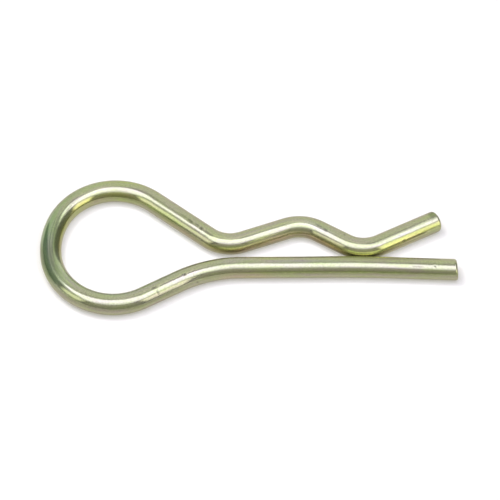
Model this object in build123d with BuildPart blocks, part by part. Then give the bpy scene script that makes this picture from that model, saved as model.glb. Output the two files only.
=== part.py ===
from build123d import *
import os
from math import cos, pi, radians, sin, sqrt

# Hitch pin clip, bent from one length of round spring wire, lying on its flat side.
# The layout below has the hitch pin's axis upright at x = 0, and the straight leg's
# axis along y = 0 with its tip towards +X. The bent leg runs beside it on the +Y side.
# At the end the clip is shifted so that it lies on z = 0 with the middle of its
# outline at the origin. Lengths are in millimetres and angles in degrees.

# Wire and its two sheared ends
wire_diameter = 4.0
end_round = 0.5
leg_cut_slant = 7.5
tail_cut_slant = 5.0
tail_cut_droop = 9.0
shear_allowance = 2.0

# Hitch pin that the clip locks: the straight leg passes through its cross hole, and
# the hump closes over its side. Relaxed, the hump stands inside the pin's outline.
pin_diameter = 16.0
pin_squeeze = 1.1

# Straight leg, with a slight bow towards its tip, and the throat that leads to the loop
leg_reach = 29.03
leg_tip_length = 11.63
leg_bow_radius = 280.0
leg_bow_angle = 2.6
throat_setback = 10.8
throat_radius = 24.0
throat_angle = 28.35
throat_run_length = 7.42

# Spring loop: two bends of one radius, a little apart, joined by a flatter back
loop_radius = 11.5
loop_spread = 1.9
loop_back_radius = 15.0
loop_lean = 10.5

# Bent leg: neck where it comes down to the straight leg, hump over the pin, toe that
# bears on the straight leg, and flared tail that rides over the pin as the clip goes on
neck_setback = 12.6
neck_radius = 6.5
neck_gap = 1.25
hump_radius = 7.0
toe_reach = 11.9
toe_radius = 6.5
toe_gap = 0.1
tail_angle = 26.3
tail_length = 11.8

# Heights of the bent leg's wire axis above the straight leg's
hump_height = pin_diameter / 2 - pin_squeeze + wire_diameter / 2
neck_height = wire_diameter + neck_gap

# The bow starts where its arc and the straight tip just use up the leg's reach
bow_start = (
    leg_reach
    - leg_tip_length * cos(radians(leg_bow_angle))
    - leg_bow_radius * sin(radians(leg_bow_angle))
)

# The toe's bend bears on the bowed stretch: its centre keeps one distance from the bow's
toe_to_bow = leg_bow_radius + wire_diameter + toe_gap + toe_radius
toe_past_bow_start = max(0.0, toe_reach - bow_start)
toe_rise = sqrt(toe_to_bow**2 - toe_past_bow_start**2) - leg_bow_radius

# Distance of the loop back's centre from the line through the two bends' centres
back_offset = sqrt((loop_back_radius - loop_radius) ** 2 - (loop_spread / 2) ** 2)


def back_meets(bend_centre, back_centre):
    """Point where one of the loop's two bends meets its flatter back."""
    outward = (bend_centre - back_centre).normalized()
    return bend_centre + outward * loop_radius


def crossing_from_above(runs):
    """Of the lines that touch two circles, the crossing one that leaves the first on top."""
    return runs.sort_by(SortBy.LENGTH)[:2].sort_by(lambda run: (run @ 0).Y)[-1]


def crossing_from_below(runs):
    """Of the lines that touch two circles, the crossing one that leaves the first underneath."""
    return runs.sort_by(SortBy.LENGTH)[:2].sort_by(lambda run: (run @ 0).Y)[0]


with BuildLine() as wire_axis:
    # Straight leg, from its tip back to the throat, which turns it down to the loop
    leg_run = Line((bow_start, 0), (-throat_setback, 0))
    leg_bow = JernArc(leg_run @ 0, -(leg_run % 0), leg_bow_radius, -leg_bow_angle)
    leg_tip = PolarLine(leg_bow @ 1, leg_tip_length + shear_allowance, direction=leg_bow % 1)
    throat_bend = JernArc(leg_run @ 1, leg_run % 1, throat_radius, throat_angle)
    throat_run = PolarLine(throat_bend @ 1, throat_run_length, direction=throat_bend % 1)

    # Centres of the loop's two bends, one above the other on a leaning axis, and of its back
    lean_axis = Vector(0, 1).rotate(Axis.Z, -loop_lean)
    lower_centre = throat_run @ 1 + (throat_run % 1).rotate(Axis.Z, -90) * loop_radius
    upper_centre = lower_centre + lean_axis * loop_spread
    loop_centre = (lower_centre + upper_centre) / 2
    back_centre = loop_centre + lean_axis.rotate(Axis.Z, -90) * back_offset

    # Full circles that the bends of the loop's top and of the bent leg lie on
    upper_circle = CenterArc(upper_centre, loop_radius, 0, 360, mode=Mode.PRIVATE)
    neck_circle = CenterArc(
        (-neck_setback, neck_height + neck_radius), neck_radius, 0, 360, mode=Mode.PRIVATE
    )
    hump_circle = CenterArc((0, hump_height - hump_radius), hump_radius, 0, 360, mode=Mode.PRIVATE)
    toe_circle = CenterArc((toe_reach, toe_rise), toe_radius, 0, 360, mode=Mode.PRIVATE)

    # Straight stretches that touch two bends, crossing from one side to the other
    shoulder_run = ConstrainedLines(upper_circle, neck_circle, selector=crossing_from_above)
    rise_run = ConstrainedLines(neck_circle, hump_circle, selector=crossing_from_below)
    fall_run = ConstrainedLines(hump_circle, toe_circle, selector=crossing_from_above)

    # Bends of the loop, the neck, the hump and the toe, and the tail
    loop_lower = TangentArc(
        throat_run @ 1, back_meets(lower_centre, back_centre), tangent=throat_run % 1
    )
    loop_back = TangentArc(
        loop_lower @ 1, back_meets(upper_centre, back_centre), tangent=loop_lower % 1
    )
    loop_upper = TangentArc(loop_back @ 1, shoulder_run @ 0, tangent=loop_back % 1)
    neck_bend = TangentArc(shoulder_run @ 1, rise_run @ 0, tangent=shoulder_run % 1)
    hump_bend = TangentArc(rise_run @ 1, fall_run @ 0, tangent=rise_run % 1)
    tail_direction = Vector(cos(radians(tail_angle)), sin(radians(tail_angle)))
    toe_end = toe_circle.arc_center + tail_direction.rotate(Axis.Z, -90) * toe_radius
    toe_bend = TangentArc(fall_run @ 1, toe_end, tangent=fall_run % 1)
    tail_run = PolarLine(toe_bend @ 1, tail_length + shear_allowance, direction=tail_direction)

# Shear planes: each wire end leans a little, as a cut-off blade leaves it
leg_direction = leg_tip % 1
leg_cut = Plane(
    origin=leg_tip @ 1 - leg_direction * shear_allowance,
    z_dir=leg_direction.rotate(Axis.Z, leg_cut_slant),
)
droop = radians(tail_cut_droop)
tail_cut = Plane(
    origin=tail_run @ 1 - tail_direction * shear_allowance,
    z_dir=tail_direction.rotate(Axis.Z, tail_cut_slant) * cos(droop) - Vector(0, 0, sin(droop)),
)

with BuildPart() as r_clip:
    wire_path = wire_axis.wire()
    with BuildSketch(Plane(origin=wire_path @ 0, z_dir=wire_path % 0)):
        Circle(wire_diameter / 2)
    sweep(path=wire_path)
    for cut in (leg_cut, tail_cut):
        with BuildSketch(cut):
            Circle(wire_diameter)
        extrude(amount=2 * shear_allowance, mode=Mode.SUBTRACT)
    end_faces = r_clip.faces().filter_by(GeomType.PLANE)
    fillet(end_faces.edges(), end_round)

# Lie on z = 0 with the middle of the outline at the origin
outline = r_clip.part.bounding_box()
middle = outline.center()
r_clip.part.locate(Location((-middle.X, -middle.Y, -outline.min.Z)))
r_clip.part.label = "r_clip"

os.makedirs("parts", exist_ok=True)
export_step(r_clip.part, "parts/r_clip.step")

# The swept volume should be close to the wire's section times its length
wire_length = sum(edge.length for edge in wire_axis.edges()) - 2 * shear_allowance
wire_section = pi * (wire_diameter / 2) ** 2
print("wire length", round(wire_length, 2), "section times length", round(wire_section * wire_length, 1))
print("volume", round(r_clip.part.volume, 1))
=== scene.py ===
import cmath
import math

import bpy
import numpy as np
from mathutils import Matrix, Vector, noise


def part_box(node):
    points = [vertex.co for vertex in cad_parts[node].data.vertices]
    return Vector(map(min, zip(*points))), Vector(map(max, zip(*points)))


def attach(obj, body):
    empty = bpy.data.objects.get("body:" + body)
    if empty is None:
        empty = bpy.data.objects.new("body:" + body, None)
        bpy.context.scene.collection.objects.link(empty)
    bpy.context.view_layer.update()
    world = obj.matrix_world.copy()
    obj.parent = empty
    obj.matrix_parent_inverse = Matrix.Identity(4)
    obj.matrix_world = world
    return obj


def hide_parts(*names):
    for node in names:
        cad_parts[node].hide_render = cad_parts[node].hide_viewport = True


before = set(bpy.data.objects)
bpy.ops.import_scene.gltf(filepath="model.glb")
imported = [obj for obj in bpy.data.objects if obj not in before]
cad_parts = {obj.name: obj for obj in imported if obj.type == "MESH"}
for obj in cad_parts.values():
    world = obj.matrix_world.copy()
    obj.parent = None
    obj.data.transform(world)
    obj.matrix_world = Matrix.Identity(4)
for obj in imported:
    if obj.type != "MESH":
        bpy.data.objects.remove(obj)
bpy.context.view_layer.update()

MM = 0.001

# The wire and its bends, in millimetres and degrees
WIRE_RADIUS = 2.0
LEG_REACH = 29.03
LEG_TIP_LENGTH = 11.63
LEG_BOW_RADIUS = 280.0
LEG_BOW_ANGLE = 2.6
THROAT_SETBACK = 10.8
THROAT_RADIUS = 24.0
THROAT_ANGLE = 28.35
THROAT_RUN_LENGTH = 7.42
LOOP_RADIUS = 11.5
LOOP_SPREAD = 1.9
LOOP_BACK_RADIUS = 15.0
LOOP_LEAN = 10.5
NECK_SETBACK = 12.6
NECK_RADIUS = 6.5
NECK_HEIGHT = 5.25
HUMP_RADIUS = 7.0
HUMP_HEIGHT = 8.9
TOE_REACH = 11.9
TOE_RADIUS = 6.5
TOE_GAP = 0.1
TAIL_ANGLE = 26.3
TAIL_LENGTH = 11.8

# The two sheared ends
END_ROUND = 0.5
LEG_CUT_SLANT = 7.5
TAIL_CUT_SLANT = 5.0
TAIL_CUT_DROOP = 9.0
CUT_BLEND_LENGTH = 3.0

# Unevenness of the drawn wire: mean depth in millimetres of its long waves and of its ripples,
# and how closely each pattern is packed along the wire and across it
WAVE_DEPTH = 0.009
WAVE_STRETCH = (0.22, 1.0, 1.0)
WAVE_SCALE = 0.45
RIPPLE_DEPTH = 0.004
RIPPLE_STRETCH = (0.5, 1.6, 1.6)
RIPPLE_SCALE = 1.0
NOISE_SHIFT = Vector((7.3, 3.1, 5.7))

# Mesh density
RING_STEP = 0.2
RING_POINTS = 88
END_ROUND_RINGS = 7
CUT_FACE_RINGS = 12

# Stage: distances from the clip in metres, and the overhead light's strength and colour
CARD_DISTANCE = 0.8
PANEL_DISTANCE = 0.6
OVERHEAD_HEIGHT = 0.6
OVERHEAD_RADIANCE = 3.3
OVERHEAD_COLOUR = (1.0, 0.99, 1.28)

# Floor: its reach in metres, its glow, what the camera sees on top of that far from the clip,
# and the distances in metres between which that part rises
FLOOR_REACH = 3.0
FLOOR_GLOW = 0.35
FAR_FLOOR_GLOW = 0.75
FAR_FLOOR_START = 0.12
FAR_FLOOR_END = 0.60

# Marks on the wire: distance from the straight leg's tip and angle around the wire, where
# 0 is the left side of the travel from that tip and 90 is the top, then the mark's length,
# width and depth in millimetres, its turn from the wire's line, and how dark it is
MARKS = [
    (4.1, 71, 0.45, 0.30, 0.060, 30, 0.80),
    (7.2, 67, 2.4, 0.30, 0.020, 2, 0.35),
    (48.7, 14, 0.35, 0.35, 0.050, 0, 0.80),
    (50.6, 82, 0.7, 0.35, 0.035, 0, 0.50),
    (56.7, 56, 0.25, 1.10, 0.030, 12, 0.55),
    (56.8, 84, 1.1, 0.30, 0.030, 0, 0.35),
    (117.6, 92, 2.2, 0.30, 0.030, 0, 0.35),
    (119.2, 95, 1.2, 0.35, 0.050, 4, 0.60),
    (120.7, 93, 1.0, 0.30, 0.045, -5, 0.50),
    (121.8, 96, 0.6, 0.40, 0.055, 0, 0.70),
    (123.6, 98, 1.8, 0.30, 0.020, 3, 0.30),
    (144.9, 92, 1.4, 0.35, 0.040, 0, 0.50),
    (146.2, 95, 0.9, 0.35, 0.040, 6, 0.55),
    (149.9, 70, 0.35, 0.35, 0.040, 0, 0.60),
    (161.2, 150, 0.35, 0.30, 0.040, 0, 0.60),
]

# Tints by which patches multiply red, green and blue, for the drift of the chromate's colour
TEAL = (0.90, 1.01, 1.04)
LIME = (0.97, 1.08, 0.72)
PINK = (1.10, 0.96, 1.01)
LEMON = (1.08, 1.04, 0.76)
KHAKI = (1.02, 1.03, 0.85)
LILAC = (0.98, 0.96, 1.20)
GREEN = (0.92, 1.03, 0.92)

# Painted shade and painted highlights: darker tints are painted shade, lighter ones painted
# highlights and reflections, where this studio mirrors in the wire more or less brightly
# than the photograph's did
PAINTED_SHADING_COOL = (0.60, 0.65, 0.54)
PAINTED_SHADING_WARM = (0.67, 0.63, 0.57)
PAINTED_SHADING_YELLOWISH = (0.80, 0.74, 0.58)
PAINTED_SHADING_DEEP = (0.74, 0.74, 0.70)
PAINTED_SHADING_SOFT = (0.86, 0.89, 0.84)
PAINTED_REFLECTION_FAINT = (1.26, 1.26, 1.24)
PAINTED_REFLECTION_MID = (1.50, 1.46, 1.50)
PAINTED_REFLECTION_STRONG = (2.35, 2.30, 2.15)

# Tinted patches of the chromate's drift and of painted shade and painted highlights: distance and
# angle as for the marks, then length and width in millimetres
PATCHES = [
    (9.0, 118, 9.0, 0.9, LILAC),
    (14.5, 115, 15.0, 1.0, PAINTED_SHADING_DEEP),
    (16.0, 82, 34.0, 0.7, PAINTED_SHADING_SOFT),
    (17.0, 138, 12.0, 1.4, LIME),
    (22.0, 23, 48.0, 0.8, PAINTED_SHADING_DEEP),
    (22.0, 30, 44.0, 0.5, LIME),
    (22.0, 106, 44.0, 0.6, KHAKI),
    (28.0, 96, 14.0, 1.2, LILAC),
    (39.0, 5, 10.0, 2.0, PINK),
    (41.0, 81, 9.0, 0.7, PAINTED_SHADING_SOFT),
    (41.0, 110, 8.0, 1.2, LILAC),
    (50.0, 33, 6.0, 0.7, PAINTED_REFLECTION_FAINT),
    (53.0, 81, 13.0, 0.8, PAINTED_REFLECTION_FAINT),
    (55.0, 42, 14.0, 0.8, LILAC),
    (59.0, 130, 16.0, 1.6, TEAL),
    (63.0, 23, 26.0, 0.8, PAINTED_SHADING_DEEP),
    (63.0, 137, 26.0, 1.0, PAINTED_SHADING_DEEP),
    (70.0, 140, 12.0, 1.8, TEAL),
    (74.0, 80, 6.0, 0.8, PAINTED_REFLECTION_FAINT),
    (79.0, 122, 6.0, 1.4, PAINTED_REFLECTION_FAINT),
    (80.0, 36, 8.0, 1.1, PAINTED_SHADING_COOL),
    (80.0, 93, 7.0, 1.0, PAINTED_SHADING_DEEP),
    (82.0, 70, 17.0, 5.5, TEAL),
    (84.0, 108, 12.0, 1.4, PAINTED_SHADING_SOFT),
    (86.0, 60, 8.0, 1.4, GREEN),
    (86.0, 132, 10.0, 1.5, PAINTED_SHADING_YELLOWISH),
    (86.0, 150, 9.0, 0.6, LEMON),
    (86.5, 72, 8.0, 1.1, PAINTED_SHADING_SOFT),
    (88.0, 20, 10.0, 2.0, TEAL),
    (92.5, 62, 7.0, 1.1, PAINTED_SHADING_SOFT),
    (95.0, 50, 12.0, 2.2, GREEN),
    (95.0, 143, 7.0, 1.0, LEMON),
    (98.0, 106, 7.0, 0.9, PAINTED_REFLECTION_FAINT),
    (99.0, 165, 22.0, 2.6, KHAKI),
    (103.5, 144, 9.0, 0.9, PAINTED_SHADING_YELLOWISH),
    (104.0, 62, 8.0, 0.9, LIME),
    (104.0, 134, 7.0, 0.7, PAINTED_REFLECTION_FAINT),
    (110.0, 174, 26.0, 1.3, PAINTED_SHADING_SOFT),
    (110.5, 146, 7.0, 0.7, PAINTED_REFLECTION_FAINT),
    (112.0, 158, 22.0, 0.6, PAINTED_SHADING_DEEP),
    (113.0, 150, 12.0, 1.0, LIME),
    (118.0, 172, 8.0, 1.2, PINK),
    (122.0, 160, 6.0, 0.9, PAINTED_SHADING_SOFT),
    (127.0, 152, 6.0, 1.0, LIME),
    (128.0, 158, 7.0, 0.6, PAINTED_REFLECTION_MID),
    (131.0, 168, 18.0, 1.6, PINK),
    (134.0, 98, 34.0, 0.8, PAINTED_REFLECTION_FAINT),
    (134.0, 134, 6.0, 0.7, PAINTED_REFLECTION_MID),
    (139.0, 176, 36.0, 1.5, PAINTED_SHADING_WARM),
    (140.5, 202, 8.0, 1.1, PAINTED_REFLECTION_FAINT),
    (143.0, 170, 10.0, 0.8, PAINTED_SHADING_DEEP),
    (144.0, 146, 11.0, 0.7, PAINTED_SHADING_DEEP),
    (145.0, 95, 6.0, 1.0, LILAC),
    (145.0, 157, 38.0, 0.8, PAINTED_REFLECTION_STRONG),
    (147.0, 168, 8.0, 1.6, PINK),
    (149.5, 184, 12.0, 1.8, PAINTED_SHADING_WARM),
    (151.0, 164, 9.0, 0.9, PAINTED_REFLECTION_FAINT),
    (151.5, 196, 9.0, 1.1, PAINTED_SHADING_DEEP),
    (152.0, 158, 9.0, 1.6, KHAKI),
    (153.0, 186, 6.0, 1.6, PAINTED_SHADING_DEEP),
    (159.0, 196, 12.0, 1.2, PAINTED_REFLECTION_MID),
    (160.0, 156, 11.0, 0.9, PAINTED_REFLECTION_MID),
    (160.0, 173, 12.0, 0.8, PAINTED_SHADING_WARM),
    (162.0, 118, 6.0, 0.5, LILAC),
    (163.0, 143, 14.0, 1.1, LEMON),
    (165.0, 150, 6.0, 1.4, PAINTED_SHADING_SOFT),
    (168.2, 72, 1.4, 2.2, PAINTED_SHADING_COOL),
]


def turned(degrees):
    """Unit vector in the plane, as a complex number, at an angle from +X."""
    return cmath.exp(1j * math.radians(degrees))


class Route:
    """The wire's axis in the plane of the clip: straight runs and bends, one after the other."""

    def __init__(self, start, heading):
        self.place = start
        self.heading = heading
        self.steps = []

    def straight(self, length):
        """Runs on for a length."""
        self.steps.append((self.place, self.heading, length, 0.0))
        self.place += self.heading * length

    def straight_to(self, end):
        """Runs on to a point that lies straight ahead."""
        self.straight(abs(end - self.place))

    def bend(self, radius, turn):
        """Turns left by positive degrees and right by negative ones."""
        curvature = math.copysign(1 / radius, turn)
        length = radius * abs(math.radians(turn))
        self.steps.append((self.place, self.heading, length, curvature))
        self.place, self.heading = self.along(self.steps[-1], length)

    def bend_about(self, centre, outward):
        """Follows the circle about a centre until it leaves along a direction from that centre."""
        radius = abs(self.place - centre)
        left = ((centre - self.place) / self.heading).imag > 0
        turn = math.degrees(cmath.phase(outward / (self.place - centre)))
        if left and turn < 0:
            turn += 360
        if not left and turn > 0:
            turn -= 360
        self.bend(radius, turn)

    @staticmethod
    def along(step, distance):
        """Place and heading at a distance from the start of one run or bend."""
        place, heading, _, curvature = step
        if curvature == 0:
            return place + heading * distance, heading
        swing = cmath.exp(1j * curvature * distance)
        return place + heading * (swing - 1) / (1j * curvature), heading * swing

    def at(self, distance):
        """Place and heading at a distance from the start of the wire."""
        done = 0.0
        for step in self.steps:
            if distance <= done + step[2] or step is self.steps[-1]:
                return self.along(step, distance - done)
            done += step[2]

    @property
    def length(self):
        """Length of the whole wire."""
        return sum(step[2] for step in self.steps)

    def distances(self, spacing):
        """Distances from the start of the wire, at even steps along every run and bend."""
        stops = []
        done = 0.0
        for _, _, length, _ in self.steps:
            count = max(1, round(length / spacing))
            stops += [done + length * index / count for index in range(count)]
            done += length
        return stops + [done]


def crossing_normal(centre_a, radius_a, centre_b, radius_b, side):
    """Direction from circle a's centre to where a line that crosses to circle b leaves it."""
    between = centre_b - centre_a
    lean = math.acos((radius_a + radius_b) / abs(between))
    return between / abs(between) * cmath.exp(1j * side * lean)


def wire_route():
    """The whole wire from the straight leg's tip to the tail's, in the part's own layout."""
    bow_angle = math.radians(LEG_BOW_ANGLE)
    bow_start = (
        LEG_REACH
        - LEG_TIP_LENGTH * math.cos(bow_angle)
        - LEG_BOW_RADIUS * math.sin(bow_angle)
    )
    tip_drop = (
        LEG_TIP_LENGTH * math.sin(bow_angle)
        + LEG_BOW_RADIUS * (1 - math.cos(bow_angle))
    )

    # Straight leg, from its tip back to the throat, which turns it down to the loop
    route = Route(complex(LEG_REACH, -tip_drop), turned(180 - LEG_BOW_ANGLE))
    route.straight(LEG_TIP_LENGTH)
    route.bend(LEG_BOW_RADIUS, LEG_BOW_ANGLE)
    route.straight(bow_start + THROAT_SETBACK)
    route.bend(THROAT_RADIUS, THROAT_ANGLE)
    route.straight(THROAT_RUN_LENGTH)

    # Loop: two bends of one radius, a little apart, joined by a flatter back
    lean_axis = turned(90 - LOOP_LEAN)
    lower_centre = route.place - 1j * route.heading * LOOP_RADIUS
    upper_centre = lower_centre + lean_axis * LOOP_SPREAD
    back_offset = math.sqrt((LOOP_BACK_RADIUS - LOOP_RADIUS) ** 2 - (LOOP_SPREAD / 2) ** 2)
    back_centre = (lower_centre + upper_centre) / 2 - 1j * lean_axis * back_offset
    route.bend_about(lower_centre, lower_centre - back_centre)
    route.bend_about(back_centre, upper_centre - back_centre)

    # Bent leg: neck, hump, toe and tail. The toe's bend keeps clear of the straight leg's bow
    toe_to_bow = LEG_BOW_RADIUS + 2 * WIRE_RADIUS + TOE_GAP + TOE_RADIUS
    toe_rise = math.sqrt(toe_to_bow**2 - (TOE_REACH - bow_start) ** 2) - LEG_BOW_RADIUS
    neck_centre = complex(-NECK_SETBACK, NECK_HEIGHT + NECK_RADIUS)
    hump_centre = complex(0, HUMP_HEIGHT - HUMP_RADIUS)
    toe_centre = complex(TOE_REACH, toe_rise)
    bends = [
        (upper_centre, LOOP_RADIUS, 1),
        (neck_centre, NECK_RADIUS, -1),
        (hump_centre, HUMP_RADIUS, 1),
        (toe_centre, TOE_RADIUS, -1),
    ]
    for (centre, radius, side), (next_centre, next_radius, _) in zip(bends, bends[1:]):
        leaves = crossing_normal(centre, radius, next_centre, next_radius, side)
        route.bend_about(centre, leaves)
        route.straight_to(next_centre - leaves * next_radius)
    route.bend_about(toe_centre, turned(TAIL_ANGLE - 90))
    route.straight(TAIL_LENGTH)
    return route


def offset_around(angle, degrees):
    """Distance around the wire, in millimetres, from a line along it at an angle in degrees."""
    turn = np.mod(angle - math.radians(degrees) + math.pi, 2 * math.pi) - math.pi
    return turn * WIRE_RADIUS


def marks_at(distance, angle):
    """Depth in millimetres and darkness of all marks at points given by distance and angle."""
    depth = np.zeros_like(distance)
    dark = np.zeros_like(distance)
    for place, around, length, width, deep, turn, shade in MARKS:
        along = distance - place
        across = offset_around(angle, around)
        cosine = math.cos(math.radians(turn))
        sine = math.sin(math.radians(turn))
        u = (along * cosine + across * sine) / (length / 2)
        v = (across * cosine - along * sine) / (width / 2)
        strength = np.exp(-(u**4) - v**2)
        depth += deep * strength
        dark = np.maximum(dark, shade * strength)
    return depth, dark


def patches_at(distance, angle):
    """Tint that multiplies the chromate's colour at points given by distance and angle: its drift,
    and painted shade and painted highlights.
    """
    colour = np.ones(distance.shape + (3,))
    for place, around, length, width, tint in PATCHES:
        u = (distance - place) / (length / 2)
        v = offset_around(angle, around) / (width / 2)
        strength = np.exp(-(u**4) - v**2)[..., None]
        colour *= 1 + (np.array(tint) - 1) * strength
    return colour


def smooth_noise(points, scale, seed):
    """Smooth noise from -1 to 1 at points, whose coordinates are multiplied by a scale."""
    shift = NOISE_SHIFT * seed
    return np.array([noise.noise(Vector(point) * scale + shift) for point in points])


def cut_lean(at_leg):
    """How far a cut face leans forwards per millimetre to the left and per millimetre up."""
    if at_leg:
        return -math.tan(math.radians(LEG_CUT_SLANT)), 0.0
    slant = math.radians(TAIL_CUT_SLANT)
    return -math.tan(slant), math.tan(math.radians(TAIL_CUT_DROOP)) / math.cos(slant)


def wire_rings(route):
    """Rings from tip to tip: distance, radius, share of the cut's slant, and if on the wall."""
    total = route.length
    flat_radius = WIRE_RADIUS - END_ROUND
    head = []
    for index in range(CUT_FACE_RINGS, 0, -1):
        head.append((0.0, flat_radius * (1 - index / (CUT_FACE_RINGS + 1)), 1.0, False))
    for index in range(END_ROUND_RINGS + 1):
        swing = math.pi / 2 * index / END_ROUND_RINGS
        back = END_ROUND * (1 - math.cos(swing))
        radius = flat_radius + END_ROUND * math.sin(swing)
        head.append((back, radius, 1.0, index > 0))
    body = []
    for distance in route.distances(RING_STEP):
        near = min(distance, total - distance)
        if near > END_ROUND + RING_STEP / 2:
            blend = max(0.0, 1 - (near - END_ROUND) / CUT_BLEND_LENGTH)
            body.append((distance, WIRE_RADIUS, blend * blend * (3 - 2 * blend), True))
    tail = [(total - distance, *rest) for distance, *rest in reversed(head)]
    return head + body + tail


def wire_points(route, around):
    """Points of every ring, the same points on the wire laid straight, and which are wall."""
    total = route.length
    side = np.cos(around)
    top = np.sin(around)
    upward = np.array([0.0, 0.0, 1.0])
    points = []
    unbent = []
    walls = []
    for distance, radius, slant, wall in wire_rings(route):
        place, heading = route.at(distance)
        left = 1j * heading
        lean_side, lean_top = cut_lean(distance < total / 2)
        shift = slant * radius * (lean_side * side + lean_top * top)
        forward = np.array([heading.real, heading.imag, 0.0])
        sideways = np.array([left.real, left.imag, 0.0])
        points.append(
            np.array([place.real, place.imag, 0.0])
            + np.outer(shift, forward)
            + radius * (np.outer(side, sideways) + np.outer(top, upward))
        )
        unbent.append(np.stack([distance + shift, radius * side, radius * top], 1))
        walls.append(wall)
    return np.array(points), np.array(unbent), np.array(walls)


def wire_faces(ring_count):
    """Quads between rings, and a fan about a middle point in each of the two cut faces."""
    faces = []
    for ring in range(ring_count - 1):
        for index in range(RING_POINTS):
            following = (index + 1) % RING_POINTS
            near = ring * RING_POINTS
            far = near + RING_POINTS
            faces.append((near + index, far + index, far + following, near + following))
    leg_middle = ring_count * RING_POINTS
    tail_middle = leg_middle + 1
    last_ring = leg_middle - RING_POINTS
    for index in range(RING_POINTS):
        following = (index + 1) % RING_POINTS
        faces.append((leg_middle, index, following))
        faces.append((tail_middle, last_ring + following, last_ring + index))
    return faces


def add_attribute(mesh, name, kind, field, values):
    """Writes one value per vertex for the material to read."""
    attribute = mesh.attributes.new(name, kind, "POINT")
    attribute.data.foreach_set(field, values.astype(np.float32).ravel())


def add_uv_map(mesh, unbent):
    """A map whose first axis runs around the wire and whose second runs along it."""
    ring_along = unbent[:, :, 0].mean(axis=1) / unbent[-1, :, 0].mean()
    along = np.append(np.repeat(ring_along, RING_POINTS), [0.0, 1.0])
    corners = np.zeros(len(mesh.loops), np.int32)
    mesh.loops.foreach_get("vertex_index", corners)
    u = (corners % RING_POINTS) / RING_POINTS

    # The last column of quads closes the ring, so its later two corners are at 1 and not at 0
    quads = (len(unbent) - 1) * RING_POINTS
    closes = np.zeros(len(corners), bool)
    closes[: quads * 4] = np.tile([False, False, True, True], quads)
    u[closes & (u == 0)] = 1.0
    layer = mesh.uv_layers.new(name="around_and_along")
    layer.data.foreach_set("uv", np.stack([u, along[corners]], 1).astype(np.float32).ravel())


def build_wire():
    """The clip's wire: one closed tube with two slanted, rounded cut faces."""
    route = wire_route()
    around = np.arange(RING_POINTS) * 2 * math.pi / RING_POINTS
    points, unbent, walls = wire_points(route, around)
    distance = unbent[:, :, 0]
    angle = np.broadcast_to(around, distance.shape)

    # Marks and the waviness of the drawn wire, all inwards so that the wire keeps its size
    depth, dark = marks_at(distance, angle)
    flat_unbent = unbent.reshape(-1, 3)
    wave = smooth_noise(flat_unbent * np.array(WAVE_STRETCH), WAVE_SCALE, 1)
    ripple = smooth_noise(flat_unbent * np.array(RIPPLE_STRETCH), RIPPLE_SCALE, 2)
    depth = depth + WAVE_DEPTH * (1 + wave.reshape(depth.shape))
    depth = depth + RIPPLE_DEPTH * (1 + ripple.reshape(depth.shape))
    outward = points - points.mean(axis=1, keepdims=True)
    outward /= np.linalg.norm(outward, axis=2, keepdims=True)
    points = points - outward * (depth * walls[:, None])[:, :, None]

    middles = [points[0].mean(axis=0), points[-1].mean(axis=0)]
    vertices = np.vstack([points.reshape(-1, 3), middles])
    mesh = bpy.data.meshes.new("spring_wire")
    mesh.from_pydata(list(map(tuple, vertices)), [], wire_faces(len(points)))
    mesh.update()
    mesh.shade_smooth()
    unbent_middles = [unbent[0].mean(axis=0), unbent[-1].mean(axis=0)]
    unbent_vertices = np.vstack([flat_unbent, unbent_middles]) * MM
    add_attribute(mesh, "unbent", "FLOAT_VECTOR", "vector", unbent_vertices)
    add_attribute(mesh, "dark", "FLOAT", "value", np.append(dark.ravel(), [0, 0]))
    # The patches hold the chromate's drift, and painted shade and painted highlights on the wire
    colours = np.ones((len(vertices), 4))
    colours[: depth.size, :3] = patches_at(distance, angle).reshape(-1, 3)
    add_attribute(mesh, "patches", "FLOAT_COLOR", "color", colours)
    add_uv_map(mesh, unbent)

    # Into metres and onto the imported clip: outline middle to outline middle, underside to z = 0
    low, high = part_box("r_clip")
    target = (low + high) / 2
    middle = (vertices.min(axis=0) + vertices.max(axis=0)) / 2
    move = Matrix.Translation((target.x, target.y, low.z + WIRE_RADIUS * MM))
    mesh.transform(move @ Matrix.Scale(MM, 4) @ Matrix.Translation((-middle[0], -middle[1], 0)))
    piece = bpy.data.objects.new("spring_wire", mesh)
    bpy.context.scene.collection.objects.link(piece)
    return piece


def new_material(name):
    """A material with Blender's default nodes, and its node tree."""
    material = bpy.data.materials.new(name)
    material.use_nodes = True
    return material, material.node_tree


def feed(node, inputs):
    """Gives inputs, by name or number, a value of their own or another node's output."""
    for socket, value in inputs.items():
        if isinstance(value, bpy.types.NodeSocket):
            node.id_data.links.new(value, node.inputs[socket])
        else:
            node.inputs[socket].default_value = value


def add_node(tree, kind, inputs, **settings):
    """A shader node with its settings made first, and then its inputs fed."""
    node = tree.nodes.new("ShaderNode" + kind)
    for name, value in settings.items():
        setattr(node, name, value)
    feed(node, inputs)
    return node


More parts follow.
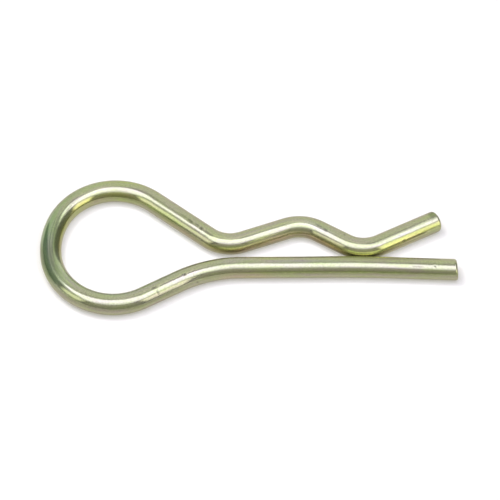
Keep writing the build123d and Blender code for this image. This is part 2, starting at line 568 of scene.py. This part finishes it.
def zinc_material():
    """Bright zinc under a thin yellow-green chromate, over fine lines from wire drawing."""
    material, tree = new_material("yellow_zinc")
    unbent = add_node(tree, "Attribute", {}, attribute_name="unbent").outputs["Vector"]
    dark = add_node(tree, "Attribute", {}, attribute_name="dark").outputs["Fac"]
    patches = add_node(tree, "Attribute", {}, attribute_name="patches").outputs["Color"]

    # Chromate tint drifts in streaks along the wire, from a pinkish khaki to lime
    streaks = add_node(tree, "Mapping", {"Vector": unbent, "Scale": (0.17, 1.0, 1.0)})
    drift = add_node(
        tree,
        "TexNoise",
        {"Vector": streaks.outputs["Vector"], "Scale": 1100.0, "Detail": 4.0, "Roughness": 0.6},
    )
    ramp = add_node(tree, "ValToRGB", {"Fac": drift.outputs["Fac"]})
    first, last = ramp.color_ramp.elements
    first.position = 0.30
    first.color = (0.353, 0.323, 0.244, 1)
    last.position = 0.70
    last.color = (0.340, 0.379, 0.174, 1)
    ramp.color_ramp.elements.new(0.50).color = (0.346, 0.353, 0.214, 1)

    # Fine mottle of the chromate, lighter and darker grain by grain
    grain = add_node(
        tree,
        "TexNoise",
        {"Vector": unbent, "Scale": 3600.0, "Detail": 4.0, "Roughness": 0.7},
    )
    shade = add_node(
        tree,
        "MapRange",
        {
            "Value": grain.outputs["Fac"],
            "From Min": 0.3,
            "From Max": 0.7,
            "To Min": 0.84,
            "To Max": 1.16,
        },
    )
    mottled = add_node(
        tree,
        "Mix",
        {"Factor": 1.0, "A": ramp.outputs["Color"], "B": shade.outputs["Result"]},
        data_type="RGBA",
        blend_type="MULTIPLY",
    )
    # The patches bring in the chromate's drift, and painted shade and painted highlights
    tint = add_node(
        tree,
        "Mix",
        {"Factor": 1.0, "A": mottled.outputs["Result"], "B": patches},
        data_type="RGBA",
        blend_type="MULTIPLY",
    )
    soot = add_node(
        tree,
        "Mix",
        {"Factor": dark, "A": tint.outputs["Result"], "B": (0.05, 0.05, 0.03, 1)},
        data_type="RGBA",
    )

    # Draw lines run along the wire, under the grain
    stretch = add_node(tree, "Mapping", {"Vector": unbent, "Scale": (0.03, 1.0, 1.0)})
    lines = add_node(
        tree,
        "TexNoise",
        {"Vector": stretch.outputs["Vector"], "Scale": 3500.0, "Detail": 4.0},
    )
    height = add_node(
        tree,
        "Math",
        {0: grain.outputs["Fac"], 1: 0.35, 2: lines.outputs["Fac"]},
        operation="MULTIPLY_ADD",
    )
    bump = add_node(
        tree,
        "Bump",
        {"Strength": 0.28, "Distance": 0.00003, "Height": height.outputs["Value"]},
    )
    dull = add_node(
        tree,
        "MapRange",
        {
            "Value": drift.outputs["Fac"],
            "From Min": 0.3,
            "From Max": 0.7,
            "To Min": 0.13,
            "To Max": 0.20,
        },
    )
    tangent = add_node(
        tree, "Tangent", {}, direction_type="UV_MAP", uv_map="around_and_along"
    )
    feed(
        tree.nodes["Principled BSDF"],
        {
            "Base Color": soot.outputs["Result"],
            "Metallic": 0.87,
            "Roughness": dull.outputs["Result"],
            "Normal": bump.outputs["Normal"],
            "Specular Tint": (0.86, 0.81, 0.73, 1),
            "Anisotropic": 0.4,
            "Tangent": tangent.outputs["Tangent"],
        },
    )
    return material


def floor_material():
    """Pale grey, made white by a glow that only the camera and mirroring surfaces see."""
    material, tree = new_material("white_floor")
    path = add_node(tree, "LightPath", {})
    seen = add_node(
        tree,
        "Math",
        {0: path.outputs["Is Camera Ray"], 1: path.outputs["Is Glossy Ray"]},
        operation="MAXIMUM",
    )
    level = add_node(
        tree, "Math", {0: seen.outputs["Value"], 1: FLOOR_GLOW}, operation="MULTIPLY"
    )

    # Far from the clip the lamps fall short, and the camera sees more of the glow
    geometry = add_node(tree, "NewGeometry", {})
    away = add_node(tree, "VectorMath", {0: geometry.outputs["Position"]}, operation="LENGTH")
    rise = add_node(
        tree,
        "MapRange",
        {
            "Value": away.outputs["Value"],
            "From Min": FAR_FLOOR_START,
            "From Max": FAR_FLOOR_END,
            "To Max": FAR_FLOOR_GLOW,
        },
        interpolation_type="SMOOTHSTEP",
    )
    whole = add_node(
        tree,
        "Math",
        {0: rise.outputs["Result"], 1: path.outputs["Is Camera Ray"], 2: level.outputs["Value"]},
        operation="MULTIPLY_ADD",
    )
    feed(
        tree.nodes["Principled BSDF"],
        {
            "Base Color": (0.62, 0.62, 0.56, 1),
            "Roughness": 1.0,
            "Specular IOR Level": 0.0,
            "Emission Color": (1.0, 0.96, 0.86, 1),
            "Emission Strength": whole.outputs["Value"],
        },
    )
    return material


def glow_material(name, colour):
    """A plain glow of strength 1, and the node that makes it."""
    material, tree = new_material(name)
    tree.nodes.clear()
    glow = add_node(tree, "Emission", {"Color": (*colour, 1)})
    add_node(tree, "OutputMaterial", {"Surface": glow.outputs["Emission"]})
    return material, glow


def fading_glow_material(name, radiance, colour, fade):
    """A glow that fades over a share of each side, along the two axes of the panel's map."""
    material, glow = glow_material(name, colour)
    tree = material.node_tree
    place = add_node(tree, "UVMap", {}, uv_map="panel")
    split = add_node(tree, "SeparateXYZ", {"Vector": place.outputs["UV"]})
    level = radiance
    for axis, (low, high) in zip("XY", fade):
        for start, end in ((0.0, low), (1.0, 1.0 - high)):
            edge = add_node(
                tree,
                "MapRange",
                {"Value": split.outputs[axis], "From Min": start, "From Max": end},
                interpolation_type="SMOOTHSTEP",
            )
            both = add_node(
                tree, "Math", {0: level, 1: edge.outputs["Result"]}, operation="MULTIPLY"
            )
            level = both.outputs["Value"]
    feed(glow, {"Strength": level})
    return material


def stage_piece(name, vertices, faces, material, seen=True):
    """A mesh with one material, linked to the scene apart from the clip, and seen by the camera or
    not.
    """
    mesh = bpy.data.meshes.new(name)
    mesh.from_pydata(vertices, [], faces)
    mesh.materials.append(material)
    piece = bpy.data.objects.new(name, mesh)
    bpy.context.scene.collection.objects.link(piece)
    piece.visible_camera = seen
    return piece


def glowing_grid(name, point_at, material, columns, rows):
    """A glowing sheet for mirroring surfaces. Its points follow from shares across and up."""
    shares = [
        (column / columns, row / rows) for row in range(rows + 1) for column in range(columns + 1)
    ]
    faces = []
    for row in range(rows):
        for column in range(columns):
            a = row * (columns + 1) + column
            faces.append((a, a + 1, a + columns + 2, a + columns + 1))
    vertices = [point_at(*share) for share in shares]
    sheet = stage_piece(name, vertices, faces, material, seen=False)
    layer = sheet.data.uv_layers.new(name="panel")
    for loop in sheet.data.loops:
        layer.data[loop.index].uv = shares[loop.vertex_index]
    sheet.visible_shadow = False
    sheet.visible_diffuse = False
    return sheet


def direction(azimuth, zenith):
    """Unit vector at an azimuth from +X and an angle down from straight up, in degrees."""
    azimuth = math.radians(azimuth)
    zenith = math.radians(zenith)
    flat = math.sin(zenith)
    return Vector((flat * math.cos(azimuth), flat * math.sin(azimuth), math.cos(zenith)))


def card(name, azimuths, zeniths, colour):
    """A piece of a sphere about the clip, between two azimuths and two angles from straight up."""

    def point_at(across, down):
        azimuth = azimuths[0] + (azimuths[1] - azimuths[0]) * across
        zenith = zeniths[0] + (zeniths[1] - zeniths[0]) * down
        return direction(azimuth, zenith) * CARD_DISTANCE

    material, _ = glow_material(name, colour)
    glowing_grid(name, point_at, material, columns=16, rows=8)


def softbox(name, corners, radiance, colour, fade):
    """A flat glowing panel, from front left anticlockwise. Its light fades towards its sides."""
    front_left, front_right, rear_right, rear_left = corners

    def point_at(across, up):
        return front_left.lerp(front_right, across).lerp(rear_left.lerp(rear_right, across), up)

    material = fading_glow_material(name, radiance, colour, fade)
    return glowing_grid(name, point_at, material, columns=24, rows=24)


def facing_panel(azimuth, zenith, width, height):
    """Corners of an upright panel that faces the clip, from front left anticlockwise."""
    outward = direction(azimuth, zenith)
    across = Vector((0, 0, 1)).cross(outward).normalized() * width / 2
    up = outward.cross(across).normalized() * height / 2
    middle = outward * PANEL_DISTANCE
    return [middle - across - up, middle + across - up, middle + across + up, middle - across + up]


def overhead_panel(*corners):
    """Corners of a level panel overhead, each by its angles from straight up along X and Y."""
    return [
        Vector((math.tan(math.radians(x_angle)), math.tan(math.radians(y_angle)), 1))
        * OVERHEAD_HEIGHT
        for x_angle, y_angle in corners
    ]


def studio():
    """Plain floor and surroundings, soft lights, and cards that shape the wire's reflections."""
    sides = ((-1, -1), (1, -1), (1, 1), (-1, 1))
    corners = [(x * FLOOR_REACH, y * FLOOR_REACH, 0) for x, y in sides]
    stage_piece("floor", corners, [(0, 1, 2, 3)], floor_material())

    world = bpy.data.worlds.new("white_room")
    bpy.context.scene.world = world
    world.use_nodes = True
    feed(world.node_tree.nodes["Background"], {"Color": (0.98, 1.0, 1.0, 1), "Strength": 1.18})
    world.cycles_visibility.diffuse = False

    # Broad soft light overhead, which fades towards the front and has a sharp rear edge, and
    # lights the floor too
    overhead = softbox(
        "overhead",
        overhead_panel((-36, -51), (40, -51), (40, 12), (-36, 14)),
        OVERHEAD_RADIANCE,
        OVERHEAD_COLOUR,
        fade=((0.07, 0.07), (0.72, 0.06)),
    )
    overhead.visible_diffuse = True
    softbox(
        "overhead_corner",
        overhead_panel((6, 6), (39, 6), (38, 27), (5, 24)),
        OVERHEAD_RADIANCE,
        OVERHEAD_COLOUR,
        fade=((0.3, 0.15), (0.3, 0.25)),
    )

    # Light from the back left, which throws the shadows to the right and the front
    lamp = bpy.data.lights.new("key", "AREA")
    lamp.size = 0.22
    lamp.energy = 1.6
    lamp.color = (1.0, 0.98, 0.95)
    key = bpy.data.objects.new("key", lamp)
    bpy.context.scene.collection.objects.link(key)
    place = direction(azimuth=150, zenith=20) * PANEL_DISTANCE
    facing = place.to_track_quat("Z", "Y").to_matrix().to_4x4()
    key.matrix_world = Matrix.Translation(place) @ facing
    key.visible_glossy = False

    # Smaller soft lights at the front corners
    softbox(
        "front_right",
        facing_panel(azimuth=-33, zenith=64, width=0.48, height=0.52),
        radiance=2.8,
        colour=(1.0, 1.0, 0.82),
        fade=((0.25, 0.25), (0.25, 0.2)),
    )
    softbox(
        "front_left",
        facing_panel(azimuth=-149, zenith=63, width=0.42, height=0.44),
        radiance=2.15,
        colour=(0.98, 1.0, 0.90),
        fade=((0.3, 0.3), (0.3, 0.25)),
    )

    # Dark sides, a dim front, and two strips behind the overhead light
    card("left_side", (132, 190), (42, 90), (0.27, 0.34, 0.28))
    card("right_side", (-10, 52), (44, 90), (0.27, 0.31, 0.26))
    card("front_high", (-130, -52), (38, 58), (0.66, 0.66, 0.58))
    card("front_low", (-130, -52), (58, 90), (0.49, 0.49, 0.41))
    card("strip_left", (100, 150), (12, 40), (0.64, 0.66, 0.66))
    card("strip_right", (40, 80), (12, 40), (0.64, 0.66, 0.66))


def camera():
    """A long lens at the photograph's angle, from the side of the straight leg."""
    tilt = 33.0
    turn = 0.55
    distance = 2.0
    frame_width = 92.0 * MM
    target = Vector((0.23 * MM, -0.78 * MM, WIRE_RADIUS * MM))
    data = bpy.data.cameras.new("camera")
    data.sensor_width = 36.0
    data.lens = data.sensor_width * distance / frame_width
    data.clip_end = 10.0
    eye = bpy.data.objects.new("camera", data)
    bpy.context.scene.collection.objects.link(eye)
    view = direction(-90 - turn, tilt)
    eye.location = target + view * distance
    eye.rotation_euler = (-view).to_track_quat("-Z", "Y").to_euler()
    bpy.context.scene.camera = eye
    bpy.context.scene.view_settings.view_transform = "Standard"


wire = build_wire()
wire.data.materials.append(zinc_material())
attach(wire, "root")
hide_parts("r_clip")
studio()
camera()
